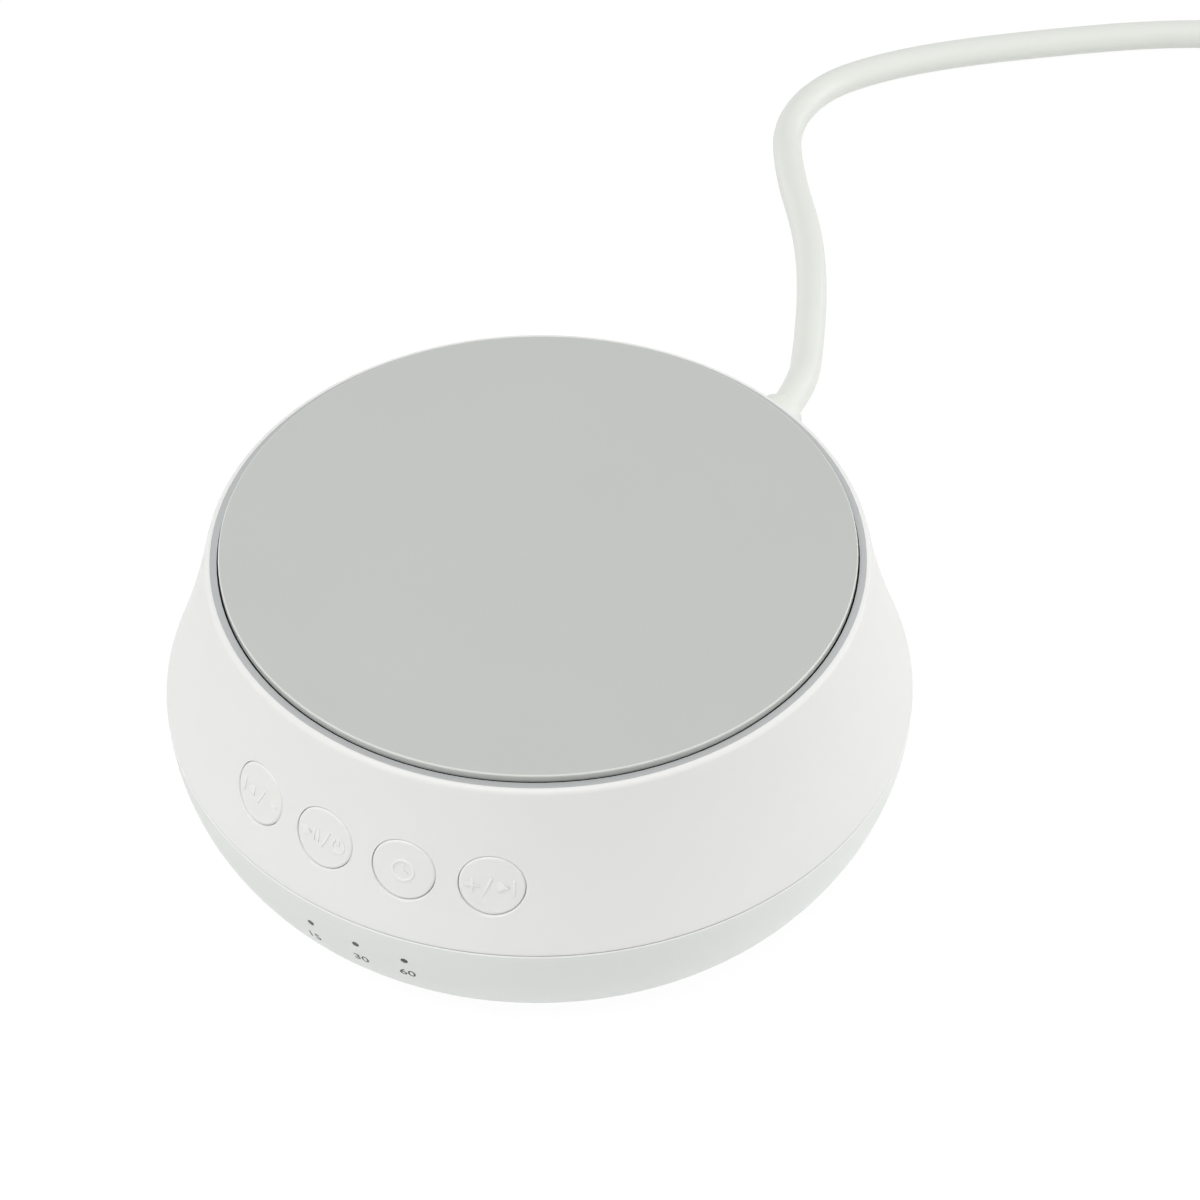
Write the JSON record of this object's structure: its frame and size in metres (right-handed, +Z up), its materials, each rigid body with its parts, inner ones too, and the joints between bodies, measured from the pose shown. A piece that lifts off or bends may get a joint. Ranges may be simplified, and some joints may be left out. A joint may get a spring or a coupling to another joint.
{
  "type": "white noise sound machine",
  "caption": "Low round bedside sound machine with a grey top plate, push buttons, timer lamps, a down-firing speaker in its floor and a fixed USB lead.",
  "frame": {"origin": "on the table plane under the middle of the round body, at the level of the rubber feet", "axes": "+Z up; -Y is the front, through the middle of the row of buttons and of the timer lamps; +Y is the back, where the lead leaves; +X is to the right as seen from the front"},
  "size_m": [0.1592, 0.2818, 0.045],
  "materials": {
    "white_plastic": "fine matte moulded ABS",
    "base_plastic": "fine matte moulded ABS, slightly cooler white",
    "silver_trim": "satin silver paint",
    "grey_plate": "soft-touch matte grey",
    "button_plastic": "fine matte moulded ABS with raised symbols",
    "black_plastic": "matte black",
    "circuit_board": "green solder mask",
    "switch_housing": "moulded black nylon",
    "bare_aluminium": "drawn can",
    "nylon": "natural nylon",
    "led_resin": "clear resin over phosphor",
    "smoked_acrylic": "smoked light pipe",
    "wire_insulation": "PVC insulation",
    "foam": "closed-cell foam",
    "plated_steel": "zinc plate",
    "ferrite": "sintered ferrite",
    "cone_paper": "pressed paper",
    "surround_rubber": "butyl rubber",
    "spider_cloth": "resin-dipped cloth",
    "copper": "enamelled copper winding",
    "phenolic": "phenolic sheet",
    "screw_steel": "zinc plate",
    "foot_rubber": "moulded silicone",
    "cord_jacket": "satin white PVC jacket",
    "tie_strap": "soft white strap",
    "plug_metal": "nickel-plated steel",
    "plug_tongue": "white LCP tongue"
  },
  "bodies": {
    "body": {"upper_shell": "white_plastic", "base_shell": "base_plastic", "trim_ring": "silver_trim", "top_plate": "grey_plate", "main_board": "circuit_board", "led_board": "circuit_board", "tact_switches": "switch_housing", "sound_chip": "black_plastic", "amplifier_chip": "black_plastic", "memory_chip": "black_plastic", "capacitors": "bare_aluminium", "power_socket": "nylon", "speaker_socket": "nylon", "led_lamps": "led_resin", "light_pipe_15": "smoked_acrylic", "light_pipe_30": "smoked_acrylic", "light_pipe_60": "smoked_acrylic", "lamp_ribbon": "wire_insulation", "power_wires": "wire_insulation", "speaker_wires": "wire_insulation", "speaker_gasket": "foam", "speaker_frame": "plated_steel", "speaker_washer": "plated_steel", "speaker_magnet": "ferrite", "speaker_yoke": "plated_steel", "speaker_cone": "cone_paper", "speaker_surround": "surround_rubber", "speaker_dust_cap": "cone_paper", "speaker_spider": "spider_cloth", "voice_coil": "copper", "speaker_terminal": "phenolic", "case_screws": "screw_steel", "board_screws": "screw_steel", "speaker_screws": "screw_steel", "clamp_screws": "screw_steel", "rubber_feet": "foot_rubber", "cable_clamp": "white_plastic", "strain_relief": "cord_jacket", "lead_stub": "cord_jacket", "power_cord": "cord_jacket", "cord_coil": "cord_jacket", "cord_tail": "cord_jacket", "cord_tie": "tie_strap", "plug_body": "cord_jacket", "plug_shell": "plug_metal", "plug_insert": "plug_tongue"},
    "button_minus_body": {"button_minus": "button_plastic", "plunger_minus": "black_plastic"},
    "button_play_body": {"button_play": "button_plastic", "plunger_play": "black_plastic"},
    "button_timer_body": {"button_timer": "button_plastic", "plunger_timer": "black_plastic"},
    "button_plus_body": {"button_plus": "button_plastic", "plunger_plus": "black_plastic"}
  },
  "joints": [
    {"name": "press_minus", "type": "slide", "parent": "body", "child": "button_minus_body", "axis": [0.3574, 0.934, 0], "range_m": [0, 0.0006], "stiffness_N_per_m": 500},
    {"name": "press_play", "type": "slide", "parent": "body", "child": "button_play_body", "axis": [0.1215, 0.9926, 0], "range_m": [0, 0.0006], "stiffness_N_per_m": 500},
    {"name": "press_timer", "type": "slide", "parent": "body", "child": "button_timer_body", "axis": [-0.1215, 0.9926, 0], "range_m": [0, 0.0006], "stiffness_N_per_m": 500},
    {"name": "press_plus", "type": "slide", "parent": "body", "child": "button_plus_body", "axis": [-0.3574, 0.934, 0], "range_m": [0, 0.0006], "stiffness_N_per_m": 500}
  ]
}
